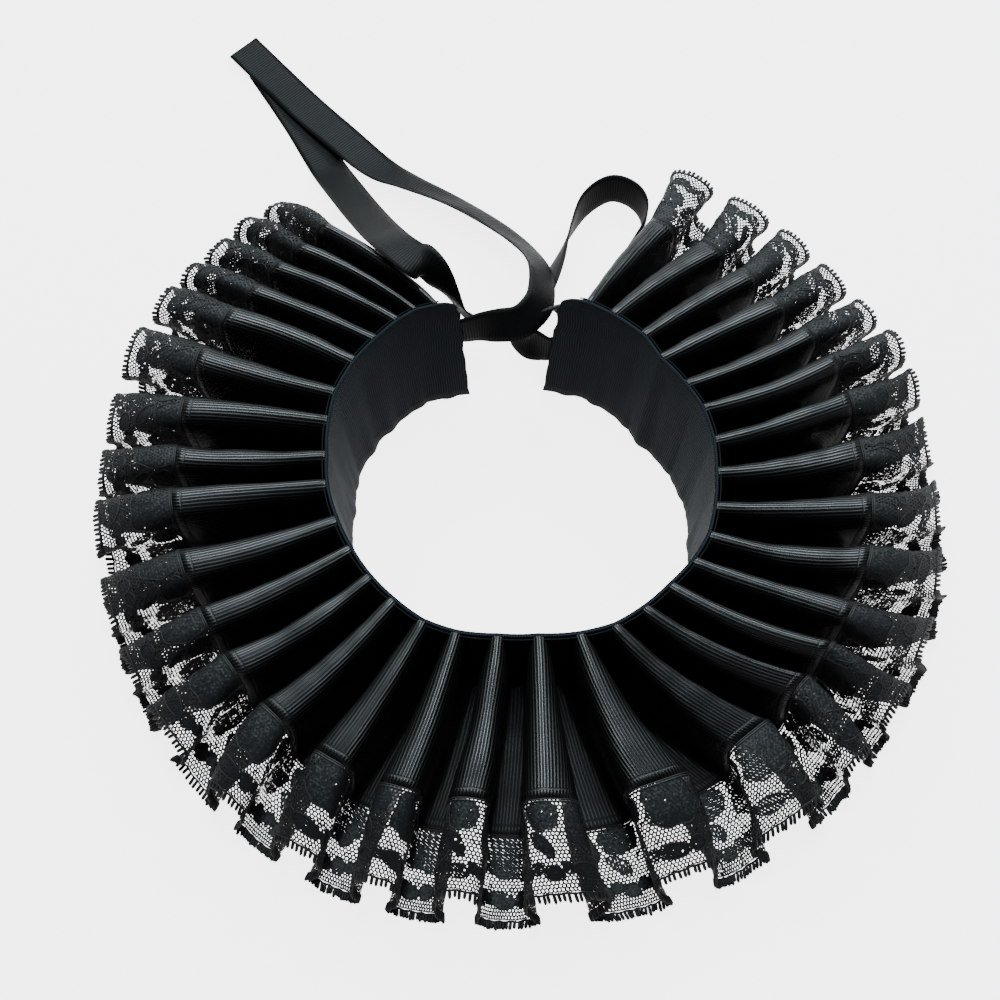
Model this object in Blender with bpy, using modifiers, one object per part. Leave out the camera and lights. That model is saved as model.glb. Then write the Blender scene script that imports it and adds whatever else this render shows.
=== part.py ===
"""Ruff collar of ribbon and lace, open at the back, lying on a table.

Run it with blender --background --python part.py, or from Blender's text editor.
Lengths are in metres and +Z is up. The front of the collar faces -Y and its back opening +Y.
The origin is the middle of the part's own box, on the table.

A neck band stands on the table. A wide ribbon is sewn to the band in tall folds: each crest is
sewn to the band's top edge and each trough to its bottom edge. A lace edging runs on from the
ribbon's outer edge, in the same folds. Two narrow ties cross in the back opening.
"""
import math
from collections import namedtuple

import bpy
import numpy as np

# Driving dimensions
MM = 0.001
WALL = 1.0 * MM               # thickness of every cloth wall
SEAM_GAP = 0.3 * MM           # space between two pieces that are sewn together
FACET_ROOM = 0.2 * MM         # more space where a straight facet of the band stands proud
BAND_HEIGHT = 51.0 * MM
BAND_LEAN = 6.0 * MM          # how far the band's bottom edge stands inside its top edge
BAND_LEAN_BACK = 2.5 * MM     # how much more it leans at the back, and less at the front
RIBBON_WIDTH = 50.8 * MM      # two inch ribbon, from the neck seam to the lace
LACE_WIDTH = 31.0 * MM
PRESSED = 1.2 * MM            # how far a trough would pass below the table, and is pressed flat
PRESSED_RIM = 0.4 * MM        # the same at the lace's rim
TIE_WIDTH = 12.7 * MM         # half inch ribbon
NECK_CENTRE = (-1.9 * MM, -30.3 * MM)   # middle of the neck, seen from above

# Shape of a fold: 0 gives a plain wave. ROUND swells the loops and FLAT blunts their ends, or
# draws them out where it is below 0.
ROUND_NECK = 0.11
ROUND_EDGE = 0.15
FLAT = 0.30
FLAT_RIM_CREST = 0.10
FLAT_RIM_TROUGH = -0.55

# Angles are in degrees from the front of the collar, and grow towards the wearer's left.
BAND_END_LEFT = (-161.5, -162.5)     # at the top edge and at the bottom edge
BAND_END_RIGHT = (166.5, 170.0)
BAND_END_RADIUS = 63.0 * MM
END_TURN = 6.0                       # angle of a fold in step beyond each end of the ruff

# How many points each surface has
STEPS_IN_A_FOLD = (0.0, 0.05, 0.12, 0.25, 0.38, 0.45, 0.5, 0.55, 0.62, 0.75, 0.88, 0.95)
RIBBON_ROWS = 4
LACE_ROWS = 3
BAND_STEPS = 120
BAND_ROWS = 3
TIE_STEP = 3.0 * MM

# One row for each fold, from the back left round the front to the back right: where its crest
# is sewn to the band, and where it lies at the ribbon's outer edge and at the lace's rim. Then
# comes the angle at the rim of the trough that follows it, and how much of the fold's room the
# loop of the crest and of that trough each take at the rim, in percent.
Fold = namedtuple("Fold", "neck_deg neck_mm edge_deg edge_height_mm rim_deg rim_height_mm"
                          " trough_deg crest_wide trough_wide")
FOLDS = (
    Fold(-155, 64.5, -145, 43, -143, 24, -141, 70, 65),
    Fold(-149, 66.0, -140, 39, -138, 25, -136, 75, 65),
    Fold(-143, 66.0, -135, 38, -133, 23, -130, 75, 65),
    Fold(-134, 65.5, -129, 38, -128, 25, -125, 75, 65),
    Fold(-125, 65.5, -123, 39, -123, 26, -118, 75, 65),
    Fold(-113, 65.0, -113, 41, -114, 27, -108, 75, 60),
    Fold(-104, 63.5, -103, 40, -103, 23, -99, 75, 60),
    Fold(-92, 62.0, -94, 40, -95, 23, -91, 75, 60),
    Fold(-83, 62.0, -86, 42, -88, 24, -80, 70, 70),
    Fold(-70, 61.5, -73, 43, -74, 24, -69, 70, 60),
    Fold(-60, 61.5, -63, 41, -65, 24, -60, 60, 55),
    Fold(-49, 62.0, -54, 41, -56, 23, -46, 60, 60),
    Fold(-39, 62.5, -43, 40, -42, 23, -36, 60, 50),
    Fold(-28, 63.5, -31, 38, -30, 19, -24, 55, 70),
    Fold(-18, 63.0, -19, 40, -19, 20, -13, 40, 76),
    Fold(-6, 61.5, -8, 40, -8, 18, -2, 45, 50),
    Fold(6, 61.5, 4, 43, 6, 25, 15, 65, 55),
    Fold(18, 63.5, 23, 38, 23, 18, 29, 60, 30),
    Fold(28, 65.0, 41, 34, 37, 21, 45, 85, 25),
    Fold(38, 65.0, 52, 36, 50, 23, 54, 60, 30),
    Fold(48, 65.0, 58, 42, 59, 22, 65, 80, 25),
    Fold(58, 66.0, 65, 42, 70, 19, 76, 70, 40),
    Fold(67, 66.5, 76, 40, 81, 17, 86, 70, 50),
    Fold(76, 65.5, 85, 40, 91, 17, 96, 70, 50),
    Fold(87, 64.5, 96, 37, 100, 19, 105, 75, 60),
    Fold(97, 64.5, 105, 39, 108, 25, 111, 75, 60),
    Fold(108, 64.0, 112, 42, 114, 28, 118, 75, 60),
    Fold(117, 62.5, 119, 40, 121, 25, 124, 75, 60),
    Fold(129, 61.0, 127, 39, 128, 26, 132, 75, 60),
    Fold(138, 63.0, 135, 37, 136, 24, 140, 75, 60),
    Fold(150, 63.5, 143, 36, 144, 24, 149, 75, 60),
    Fold(158, 64.0, 154, 35, 154, 24, 158, 70, 60),
)

# Routes of the ties, in millimetres from the neck's centre. The last two columns give the
# direction across the ribbon: its heading seen from above, from +X to +Y, and its rise.
TiePoint = namedtuple("TiePoint", "x y z heading rise")
TIE_LEFT = (
    TiePoint(-18.1, 58.2, 34.0, 125, 82),
    TiePoint(-12.0, 59.6, 34.2, 112, 72),
    TiePoint(-6.0, 60.4, 33.6, 98, 58),
    TiePoint(0.0, 61.3, 33.4, 118, 54),
    TiePoint(4.5, 64.5, 33.6, 145, 50),
    TiePoint(8.2, 72.0, 32.0, 168, 46),
    TiePoint(8.3, 87.0, 25.5, 184, 50),
    TiePoint(3.4, 102.0, 15.0, 203, 48),
    TiePoint(-7.2, 115.8, 8.4, 222, 45),
    TiePoint(-22.9, 127.2, 6.8, 232, 42),
    TiePoint(-39.3, 135.9, 6.3, 238, 31),
    TiePoint(-49.5, 141.9, 5.8, 240, 15),
    TiePoint(-61.5, 153.8, 4.4, 232, 4),
    TiePoint(-79.0, 172.5, 2.5, 226, 0),
    TiePoint(-101.5, 197.7, 2.1, 222, 0),
)
TIE_RIGHT = (
    TiePoint(10.8, 57.3, 22.9, 52, 80),
    TiePoint(7.8, 58.6, 22.7, 60, 74),
    TiePoint(3.8, 61.8, 20.6, 50, 60),
    TiePoint(2.0, 69.0, 17.4, 5, 46),
    TiePoint(4.6, 77.0, 15.0, -33, 42),
    TiePoint(9.0, 86.0, 13.0, -32, 46),
    TiePoint(14.0, 98.0, 10.6, -22, 62),
    TiePoint(18.8, 112.5, 8.8, -16, 84),
    TiePoint(25.0, 125.6, 7.2, -30, 100),
    TiePoint(34.5, 132.6, 6.6, -90, 105),
    TiePoint(43.6, 128.4, 6.6, -142, 104),
    TiePoint(46.0, 118.0, 6.8, -187, 96),
    TiePoint(38.0, 101.0, 6.9, -200, 90),
    TiePoint(29.8, 84.0, 10.0, -203, 90),
    TiePoint(23.2, 72.3, 24.0, -208, 96),
    TiePoint(17.2, 66.4, 37.0, -228, 112),
    TiePoint(12.5, 64.2, 39.2, -262, 122),
    TiePoint(9.0, 63.3, 38.4, -265, 122),
)
TIE_TAIL = (
    TiePoint(-8.5, 66.0, 27.0, -90, 74),
    TiePoint(-14.0, 65.6, 29.5, -82, 70),
    TiePoint(-19.8, 66.2, 37.0, -70, 52),
    TiePoint(-24.6, 67.9, 46.5, -28, 30),
    TiePoint(-29.0, 70.6, 54.4, -4, 14),
    TiePoint(-36.0, 75.0, 55.4, 20, 4),
    TiePoint(-43.5, 85.3, 49.2, 26, 0),
    TiePoint(-52.6, 107.5, 28.5, 27, 0),
    TiePoint(-66.4, 140.7, 3.4, 28, 0),
    TiePoint(-72.2, 152.2, 0.6, 29, 0),
    TiePoint(-79.6, 166.0, 0.5, 29, 0),
    TiePoint(-93.4, 188.8, 0.5, 30, 0),
)

# Finish of each piece: colour, roughness
BLACK_RIBBON = ((0.012, 0.013, 0.015, 1.0), 0.62)
BLACK_LACE = ((0.016, 0.016, 0.018, 1.0), 0.75)


def clear_scene():
    """Remove every object of the open file."""
    for item in list(bpy.data.objects):
        bpy.data.objects.remove(item, do_unlink=True)


def make_collection(name):
    """A new collection linked to the scene."""
    group = bpy.data.collections.new(name)
    bpy.context.scene.collection.children.link(group)
    return group


def make_material(name, finish):
    """A plain cloth material from a colour and a roughness."""
    colour, roughness = finish
    material = bpy.data.materials.new(name)
    material.use_nodes = True
    shader = material.node_tree.nodes["Principled BSDF"]
    shader.inputs["Base Color"].default_value = colour
    shader.inputs["Roughness"].default_value = roughness
    shader.inputs["Metallic"].default_value = 0.0
    return material


def fold_column(name):
    """One column of the fold table, with one more fold in step at each end."""
    values = [getattr(fold, name) for fold in FOLDS]
    step = END_TURN if name.endswith("deg") else 0.0
    return np.array([values[0] - step, *values, values[-1] + step], dtype=float)


def read_fold(name, place):
    """Value of a column at any place along the ruff, where 0 is the first crest."""
    values = fold_column(name)
    return np.interp(place, np.arange(-1, len(values) - 1), values)


def read_rim(crest_name, trough_name, place):
    """Value at the rim at any place, through a column for the crests and one for the troughs."""
    values = []
    for fold in FOLDS:
        values += [getattr(fold, crest_name), getattr(fold, trough_name)]
    step = END_TURN / 2 if crest_name.endswith("deg") else 0.0
    return np.interp(place, np.arange(-1, len(values)) / 2, [values[0] - step, *values])


def band_radius(degrees):
    """Radius of the band's top edge at an angle, from the folds and the band's two ends."""
    angles = [BAND_END_LEFT[0], *[fold.neck_deg for fold in FOLDS], BAND_END_RIGHT[0]]
    radii = [BAND_END_RADIUS, *[fold.neck_mm * MM for fold in FOLDS], BAND_END_RADIUS]
    return np.interp(degrees, angles, radii)


def band_lean(degrees):
    """How far the band's bottom edge stands inside its top edge at an angle."""
    return BAND_LEAN - BAND_LEAN_BACK * np.cos(np.radians(degrees))


def place_round(degrees, radius, height):
    """Points at an angle from the front, a distance from the neck's centre and a height."""
    turn = np.radians(degrees)
    x = NECK_CENTRE[0] + radius * np.sin(turn)
    y = NECK_CENTRE[1] - radius * np.cos(turn)
    return np.stack(np.broadcast_arrays(x, y, height), axis=-1)


def band_surface():
    """Middle surface of the neck band, a leaning ring that is open at the back."""
    up = np.linspace(0.0, 1.0, BAND_ROWS)[:, None]
    along = np.linspace(0.0, 1.0, BAND_STEPS + 1)[None, :]
    left = BAND_END_LEFT[1] + (BAND_END_LEFT[0] - BAND_END_LEFT[1]) * up
    right = BAND_END_RIGHT[1] + (BAND_END_RIGHT[0] - BAND_END_RIGHT[1]) * up
    degrees = left + (right - left) * along
    radius = band_radius(degrees) - band_lean(degrees) * (1.0 - up)
    return place_round(degrees, radius, BAND_HEIGHT * up)


def ruff_surface(place, reach):
    """Middle surface of the folded cloth.

    place counts folds from the first crest, and reach is the distance from the neck seam along
    the cloth. Across a fold the cloth moves by s + round * sin(4 pi s), which swells the loops:
    a loop then takes a quarter of the fold's room and twice round. Its height follows
    (1 + flat) * c - flat * c^3 with c = cos(2 pi s).
    """
    out = reach / RIBBON_WIDTH
    beyond = np.maximum(reach - RIBBON_WIDTH, 0.0) / LACE_WIDTH
    droop = 0.4 * beyond + 0.6 * beyond ** 2

    def along(at_neck, at_edge, at_rim):
        return at_neck + (at_edge - at_neck) * np.minimum(out, 1.0) + (at_rim - at_edge) * droop

    round_rim = read_rim("crest_wide", "trough_wide", place) / 200 - 0.125
    roundness = along(ROUND_NECK, ROUND_EDGE, round_rim)
    crest = np.floor(place)
    s = place - crest
    moved = crest + s + roundness * np.sin(4 * math.pi * s)

    neck = read_fold("neck_deg", moved)
    degrees = along(neck, read_fold("edge_deg", moved), read_rim("rim_deg", "trough_deg", moved))

    c = np.cos(2 * math.pi * s)
    flat_rim = FLAT_RIM_TROUGH + (FLAT_RIM_CREST - FLAT_RIM_TROUGH) * (1 + c) / 2
    flat = along(FLAT, FLAT, flat_rim)
    pressed = along(PRESSED, PRESSED, PRESSED_RIM)
    rise = 0.5 + 0.5 * ((1 + flat) * c - flat * c ** 3)
    rise_at_neck = 0.5 + 0.5 * ((1 + FLAT) * c - FLAT * c ** 3)
    top = along(BAND_HEIGHT, read_fold("edge_height_mm", moved) * MM, read_fold("rim_height_mm", moved) * MM)
    height = np.maximum(-pressed + (top + pressed) * rise, WALL / 2)
    height_at_neck = np.maximum(-PRESSED + (BAND_HEIGHT + PRESSED) * rise_at_neck, WALL / 2)

    seam = band_radius(neck) - band_lean(neck) * (1 - height_at_neck / BAND_HEIGHT)
    run = np.sqrt(np.maximum(reach ** 2 - (height_at_neck - height) ** 2, 0.0))
    return place_round(degrees, seam + WALL / 2 + SEAM_GAP + FACET_ROOM + run, height)


def fold_places():
    """Places along the ruff from the trough before the first crest to the one after the last."""
    places = [fold + step for fold in range(-1, len(FOLDS)) for step in STEPS_IN_A_FOLD]
    inside = [place for place in places if -0.5 <= place <= len(FOLDS) - 0.5]
    return np.array(inside)[None, :]


def smooth_route(points, step):
    """Evenly spaced rows on the Catmull-Rom curve through a tie's points."""
    rows = np.array(points, dtype=float)
    ends = np.vstack([2 * rows[0] - rows[1], rows, 2 * rows[-1] - rows[-2]])
    t = np.linspace(0.0, 1.0, 40, endpoint=False)[:, None]
    pieces = []
    for a, b, c, d in zip(ends[:-3], ends[1:-2], ends[2:-1], ends[3:]):
        pieces.append(0.5 * (2 * b + (c - a) * t + (2 * a - 5 * b + 4 * c - d) * t ** 2
                             + (3 * b - a - 3 * c + d) * t ** 3))
    fine = np.vstack([*pieces, rows[-1:]])
    length = np.concatenate([[0.0], np.cumsum(np.linalg.norm(np.diff(fine[:, :3], axis=0), axis=1))])
    count = max(2, round(length[-1] * MM / step))
    wanted = np.linspace(0.0, length[-1], count + 1)
    return np.stack([np.interp(wanted, length, fine[:, k]) for k in range(fine.shape[1])], axis=1)


def tie_surface(points):
    """Middle surface of a narrow ribbon along its route, two points wide."""
    rows = smooth_route(points, TIE_STEP)
    middle = rows[:, :3] * MM + np.array([*NECK_CENTRE, 0.0])
    tangent = np.gradient(middle, axis=0)
    tangent /= np.linalg.norm(tangent, axis=1, keepdims=True)
    heading = np.radians(rows[:, 3])
    rise = np.radians(rows[:, 4])
    across = np.stack([np.cos(rise) * np.cos(heading), np.cos(rise) * np.sin(heading), np.sin(rise)], axis=1)
    across -= tangent * np.sum(across * tangent, axis=1, keepdims=True)
    across /= np.linalg.norm(across, axis=1, keepdims=True)
    edges = [middle + across * TIE_WIDTH * side for side in (-0.5, 0.5)]
    return np.stack(edges, axis=0)


def surface_mesh(name, grid):
    """An open mesh of quads through a grid of points, rows by columns."""
    rows, columns = grid.shape[:2]
    index = np.arange(rows * columns).reshape(rows, columns)
    corners = (index[:-1, :-1], index[:-1, 1:], index[1:, 1:], index[1:, :-1])
    faces = np.stack([corner.ravel() for corner in corners], axis=1)
    mesh = bpy.data.meshes.new(name)
    mesh.from_pydata(grid.reshape(-1, 3).tolist(), [], faces.tolist())
    return mesh


def cloth_object(name, grid, material, collection):
    """A closed cloth wall of even thickness about a middle surface, flat where it rests."""
    sheet = bpy.data.objects.new(name + "_sheet", surface_mesh(name, grid))
    collection.objects.link(sheet)
    solidify = sheet.modifiers.new("wall", "SOLIDIFY")
    solidify.thickness = WALL
    solidify.offset = 0.0
    solidify.use_even_offset = True
    solidify.use_quality_normals = True
    bpy.context.view_layer.update()
    evaluated = sheet.evaluated_get(bpy.context.evaluated_depsgraph_get())
    mesh = bpy.data.meshes.new_from_object(evaluated)
    bpy.data.objects.remove(sheet, do_unlink=True)
    mesh.name = name
    for vertex in mesh.vertices:
        if vertex.co.z < 0.35 * WALL:
            vertex.co.z = 0.0
    mesh.materials.clear()
    mesh.materials.append(material)
    wall = bpy.data.objects.new(name, mesh)
    collection.objects.link(wall)
    return wall


def build_collar():
    """Make every piece of the collar."""
    clear_scene()
    collar = make_collection("ruff_collar")
    ribbon = make_material("ribbon", BLACK_RIBBON)
    lace = make_material("lace", BLACK_LACE)

    cloth_object("neck_band", band_surface(), ribbon, collar)

    ribbon_reach = np.linspace(0.0, RIBBON_WIDTH, RIBBON_ROWS)[:, None]
    cloth_object("ruff_ribbon", ruff_surface(fold_places(), ribbon_reach), ribbon, collar)

    lace_reach = RIBBON_WIDTH + np.linspace(SEAM_GAP + FACET_ROOM, LACE_WIDTH, LACE_ROWS)[:, None]
    cloth_object("lace_edging", ruff_surface(fold_places(), lace_reach), lace, collar)

    for name, route in (("tie_left", TIE_LEFT), ("tie_right", TIE_RIGHT), ("tie_tail", TIE_TAIL)):
        cloth_object(name, tie_surface(route), ribbon, collar)


build_collar()
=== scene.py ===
# %% [markdown]
# # A ruff collar of ribbon and lace
#
# A neck band of grosgrain ribbon carries a wide ruff. The ruff is one long ribbon that was sewn to
# the band in tall folds, and a lace edging runs on from its outer edge. The collar lies on a table,
# open at the back, where two narrow ties cross.
#
# The imported model already has the true folds. This lesson dresses it: every soft piece is made again
# as a thin shell on the same form, with the creases, ribs, threads and stitches that the model is
# too coarse for. Each piece is a surface worked out with numpy from a few named sizes.

# %% The imported model
import math
from collections import namedtuple

import bpy
import numpy as np
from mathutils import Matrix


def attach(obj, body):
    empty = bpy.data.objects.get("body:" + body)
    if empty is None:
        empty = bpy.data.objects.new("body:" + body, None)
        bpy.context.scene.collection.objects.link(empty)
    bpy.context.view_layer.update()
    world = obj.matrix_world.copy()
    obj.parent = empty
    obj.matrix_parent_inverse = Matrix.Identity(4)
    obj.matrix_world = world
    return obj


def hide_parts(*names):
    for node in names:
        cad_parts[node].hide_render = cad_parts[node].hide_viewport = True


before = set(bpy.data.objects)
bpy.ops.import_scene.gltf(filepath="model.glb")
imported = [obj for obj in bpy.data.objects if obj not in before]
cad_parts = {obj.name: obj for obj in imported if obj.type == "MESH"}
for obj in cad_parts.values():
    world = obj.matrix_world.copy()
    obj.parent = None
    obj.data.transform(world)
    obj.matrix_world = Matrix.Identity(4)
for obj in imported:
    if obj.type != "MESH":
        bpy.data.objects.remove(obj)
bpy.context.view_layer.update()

# %% [markdown]
# ## Sizes
#
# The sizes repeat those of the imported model, because this script can't read its source. The fold
# table has one row for each fold, from the back left round the front to the back right. Angles are
# in degrees from the front of the collar, and grow towards the wearer's left.

# %% Sizes of the collar
MM = 0.001
WALL = 1.0 * MM               # thickness of the model's walls
SEAM_GAP = 0.3 * MM
FACET_ROOM = 0.2 * MM
BAND_HEIGHT = 51.0 * MM
BAND_LEAN = 6.0 * MM          # how far the band's bottom edge stands inside its top edge
BAND_LEAN_BACK = 2.5 * MM
RIBBON_WIDTH = 50.8 * MM      # two inch ribbon
LACE_WIDTH = 31.0 * MM
PRESSED = 1.2 * MM            # how far a trough would pass below the table, and is pressed flat
PRESSED_RIM = 0.4 * MM
TIE_WIDTH = 12.7 * MM         # half inch ribbon
NECK_CENTRE = (-1.9 * MM, -30.3 * MM)
ROUND_NECK = 0.11             # ROUND swells the loops of a fold, and FLAT blunts their ends
ROUND_EDGE = 0.15
FLAT = 0.30
FLAT_RIM_CREST = 0.10
FLAT_RIM_TROUGH = -0.55
BAND_END_LEFT = (-161.5, -162.5)
BAND_END_RIGHT = (166.5, 170.0)
BAND_END_RADIUS = 63.0 * MM
END_TURN = 6.0

Fold = namedtuple("Fold", "neck_deg neck_mm edge_deg edge_height_mm rim_deg rim_height_mm"
                          " trough_deg crest_wide trough_wide")
FOLDS = (
    Fold(-155, 64.5, -145, 43, -143, 24, -141, 70, 65),
    Fold(-149, 66.0, -140, 39, -138, 25, -136, 75, 65),
    Fold(-143, 66.0, -135, 38, -133, 23, -130, 75, 65),
    Fold(-134, 65.5, -129, 38, -128, 25, -125, 75, 65),
    Fold(-125, 65.5, -123, 39, -123, 26, -118, 75, 65),
    Fold(-113, 65.0, -113, 41, -114, 27, -108, 75, 60),
    Fold(-104, 63.5, -103, 40, -103, 23, -99, 75, 60),
    Fold(-92, 62.0, -94, 40, -95, 23, -91, 75, 60),
    Fold(-83, 62.0, -86, 42, -88, 24, -80, 70, 70),
    Fold(-70, 61.5, -73, 43, -74, 24, -69, 70, 60),
    Fold(-60, 61.5, -63, 41, -65, 24, -60, 60, 55),
    Fold(-49, 62.0, -54, 41, -56, 23, -46, 60, 60),
    Fold(-39, 62.5, -43, 40, -42, 23, -36, 60, 50),
    Fold(-28, 63.5, -31, 38, -30, 19, -24, 55, 70),
    Fold(-18, 63.0, -19, 40, -19, 20, -13, 40, 76),
    Fold(-6, 61.5, -8, 40, -8, 18, -2, 45, 50),
    Fold(6, 61.5, 4, 43, 6, 25, 15, 65, 55),
    Fold(18, 63.5, 23, 38, 23, 18, 29, 60, 30),
    Fold(28, 65.0, 41, 34, 37, 21, 45, 85, 25),
    Fold(38, 65.0, 52, 36, 50, 23, 54, 60, 30),
    Fold(48, 65.0, 58, 42, 59, 22, 65, 80, 25),
    Fold(58, 66.0, 65, 42, 70, 19, 76, 70, 40),
    Fold(67, 66.5, 76, 40, 81, 17, 86, 70, 50),
    Fold(76, 65.5, 85, 40, 91, 17, 96, 70, 50),
    Fold(87, 64.5, 96, 37, 100, 19, 105, 75, 60),
    Fold(97, 64.5, 105, 39, 108, 25, 111, 75, 60),
    Fold(108, 64.0, 112, 42, 114, 28, 118, 75, 60),
    Fold(117, 62.5, 119, 40, 121, 25, 124, 75, 60),
    Fold(129, 61.0, 127, 39, 128, 26, 132, 75, 60),
    Fold(138, 63.0, 135, 37, 136, 24, 140, 75, 60),
    Fold(150, 63.5, 143, 36, 144, 24, 149, 75, 60),
    Fold(158, 64.0, 154, 35, 154, 24, 158, 70, 60),
)
print(len(FOLDS), "folds")

# %% Routes of the ties
# In millimetres from the neck's centre. The last two columns give the direction across the ribbon.
TiePoint = namedtuple("TiePoint", "x y z heading rise")
TIE_LEFT = (
    TiePoint(-18.1, 58.2, 34.0, 125, 82),
    TiePoint(-12.0, 59.6, 34.2, 112, 72),
    TiePoint(-6.0, 60.4, 33.6, 98, 58),
    TiePoint(0.0, 61.3, 33.4, 118, 54),
    TiePoint(4.5, 64.5, 33.6, 145, 50),
    TiePoint(8.2, 72.0, 32.0, 168, 46),
    TiePoint(8.3, 87.0, 25.5, 184, 50),
    TiePoint(3.4, 102.0, 15.0, 203, 48),
    TiePoint(-7.2, 115.8, 8.4, 222, 45),
    TiePoint(-22.9, 127.2, 6.8, 232, 42),
    TiePoint(-39.3, 135.9, 6.3, 238, 31),
    TiePoint(-49.5, 141.9, 5.8, 240, 15),
    TiePoint(-61.5, 153.8, 4.4, 232, 4),
    TiePoint(-79.0, 172.5, 2.5, 226, 0),
    TiePoint(-101.5, 197.7, 2.1, 222, 0),
)
TIE_RIGHT = (
    TiePoint(10.8, 57.3, 22.9, 52, 80),
    TiePoint(7.8, 58.6, 22.7, 60, 74),
    TiePoint(3.8, 61.8, 20.6, 50, 60),
    TiePoint(2.0, 69.0, 17.4, 5, 46),
    TiePoint(4.6, 77.0, 15.0, -33, 42),
    TiePoint(9.0, 86.0, 13.0, -32, 46),
    TiePoint(14.0, 98.0, 10.6, -22, 62),
    TiePoint(18.8, 112.5, 8.8, -16, 84),
    TiePoint(25.0, 125.6, 7.2, -30, 100),
    TiePoint(34.5, 132.6, 6.6, -90, 105),
    TiePoint(43.6, 128.4, 6.6, -142, 104),
    TiePoint(46.0, 118.0, 6.8, -187, 96),
    TiePoint(38.0, 101.0, 6.9, -200, 90),
    TiePoint(29.8, 84.0, 10.0, -203, 90),
    TiePoint(23.2, 72.3, 24.0, -208, 96),
    TiePoint(17.2, 66.4, 37.0, -228, 112),
    TiePoint(12.5, 64.2, 39.2, -262, 122),
    TiePoint(9.0, 63.3, 38.4, -265, 122),
)
TIE_TAIL = (
    TiePoint(-8.5, 66.0, 27.0, -90, 74),
    TiePoint(-14.0, 65.6, 29.5, -82, 70),
    TiePoint(-19.8, 66.2, 37.0, -70, 52),
    TiePoint(-24.6, 67.9, 46.5, -28, 30),
    TiePoint(-29.0, 70.6, 54.4, -4, 14),
    TiePoint(-36.0, 75.0, 55.4, 20, 4),
    TiePoint(-43.5, 85.3, 49.2, 26, 0),
    TiePoint(-52.6, 107.5, 28.5, 27, 0),
    TiePoint(-66.4, 140.7, 3.4, 28, 0),
    TiePoint(-72.2, 152.2, 0.6, 29, 0),
    TiePoint(-79.6, 166.0, 0.5, 29, 0),
    TiePoint(-93.4, 188.8, 0.5, 30, 0),
)
# Where the left and right tie are sewn behind the band's ends, out of sight.
LEFT_ROOT = TiePoint(-22.0, 58.4, 34.0, 132, 84)
RIGHT_ROOT = TiePoint(14.6, 58.6, 23.0, 60, 84)
print("the ties have", len(TIE_LEFT), len(TIE_RIGHT), "and", len(TIE_TAIL), "points")

# %% [markdown]
# ## Camera, lights and table
#
# The collar is seen from above its front, 64 degrees over the table, with a long lens. Its crests
# shine in thin stripes while the walls of the folds stay black. The crests slope down outwards, so
# each side of the ruff has a small strong lamp high up where its crests mirror it: one overhead for
# the front, one each for the left and right, and one for the back. A weak lamp in front lights the rest.

# %% The camera
CAMERA_ELEVATION = 64.0
CAMERA_DISTANCE = 0.9
LOOK_AT = (NECK_CENTRE[0] - 5.66 * MM, NECK_CENTRE[1] + 10.81 * MM, 0.0)

elevation = math.radians(CAMERA_ELEVATION)
camera_data = bpy.data.cameras.new("camera")
camera_data.lens = 94.6
camera_data.sensor_width = 36.0
camera = bpy.data.objects.new("camera", camera_data)
camera.location = (LOOK_AT[0], LOOK_AT[1] - CAMERA_DISTANCE * math.cos(elevation),
                   CAMERA_DISTANCE * math.sin(elevation))
camera.rotation_euler = (math.pi / 2 - elevation, 0.0, 0.0)
bpy.context.collection.objects.link(camera)
bpy.context.scene.camera = camera
print("camera at", [round(value, 3) for value in camera.location])


# %% One function for colours and one for nodes
def linear(hex_colour):
    """Linear red, green, blue and alpha of an sRGB hex value."""
    channels = [int(hex_colour[i:i + 2], 16) / 255 for i in (1, 3, 5)]
    return [c / 12.92 if c <= 0.04045 else ((c + 0.055) / 1.055) ** 2.4 for c in channels] + [1.0]


def add_node(tree, kind, inputs=None, **settings):
    """A new node with its settings. An input takes a number, a colour or another node's socket."""
    made = tree.nodes.new(kind)
    for name, value in settings.items():
        setattr(made, name, value)
    for name, value in (inputs or {}).items():
        if isinstance(value, bpy.types.NodeSocket):
            tree.links.new(value, made.inputs[name])
        else:
            made.inputs[name].default_value = value
    return made


# %% Lights
AIM = np.array([0.0, 0.0, 0.02])
Lamp = namedtuple("Lamp", "name place wide tall watts")
LAMPS = (
    Lamp("overhead", (0.0, -0.02, 1.20), 0.30, 0.60, 100.0),
    Lamp("left", (-0.62, 0.78, 0.92), 0.45, 0.40, 80.0),
    Lamp("right", (0.62, 0.78, 0.92), 0.45, 0.40, 80.0),
    Lamp("back", (0.0, 1.02, 0.80), 0.40, 0.40, 55.0),
    Lamp("front", (-0.25, -1.1, 0.70), 0.60, 0.60, 2.0),
)
for lamp in LAMPS:
    light = bpy.data.lights.new(lamp.name, "AREA")
    light.shape = "RECTANGLE"
    light.size, light.size_y = lamp.wide, lamp.tall
    light.energy = lamp.watts
    light.color = (0.82, 0.94, 1.0)
    lit = bpy.data.objects.new(lamp.name, light)
    lit.location = lamp.place
    direction = AIM - np.array(lamp.place)
    yaw = math.atan2(direction[1], direction[0]) - math.pi / 2
    pitch = math.acos(-direction[2] / np.linalg.norm(direction))
    lit.rotation_euler = (pitch, 0.0, yaw)
    bpy.context.collection.objects.link(lit)

world = bpy.data.worlds.new("studio")
world.use_nodes = True
world.node_tree.nodes["Background"].inputs["Color"].default_value = (1.0, 1.0, 1.0, 1.0)
world.node_tree.nodes["Background"].inputs["Strength"].default_value = 0.10
bpy.context.scene.world = world
print(len(LAMPS), "lamps")

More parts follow.
